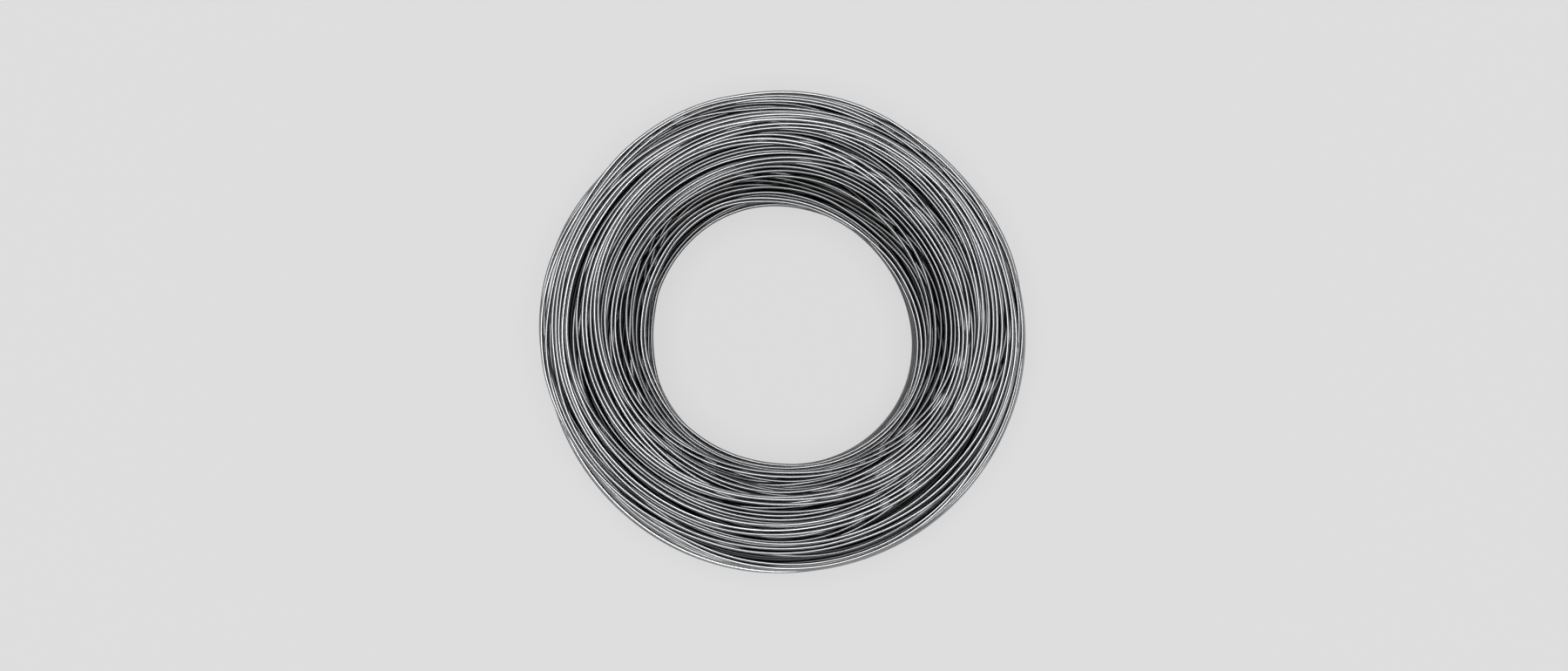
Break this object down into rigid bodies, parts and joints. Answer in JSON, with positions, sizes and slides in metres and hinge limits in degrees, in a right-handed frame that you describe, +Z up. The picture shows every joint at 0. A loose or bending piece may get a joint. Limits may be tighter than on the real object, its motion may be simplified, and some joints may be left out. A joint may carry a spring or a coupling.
{
  "type": "coil of wire rod",
  "caption": "Thick ring of plain round steel wire rod, wound in many loose turns round an open eye, lying on its end as raw stock.",
  "frame": {"origin": "centre of the eye, on the floor that the coil lies on", "axes": "+Z up along the eye; the coil is round about it, so X and Y are alike"},
  "size_m": [1.03, 1.03, 0.256],
  "materials": {
    "bare_steel": "bare grey steel rod, satin"
  },
  "bodies": {
    "root": {"wire_rod_coil": "bare_steel"}
  },
  "joints": []
}
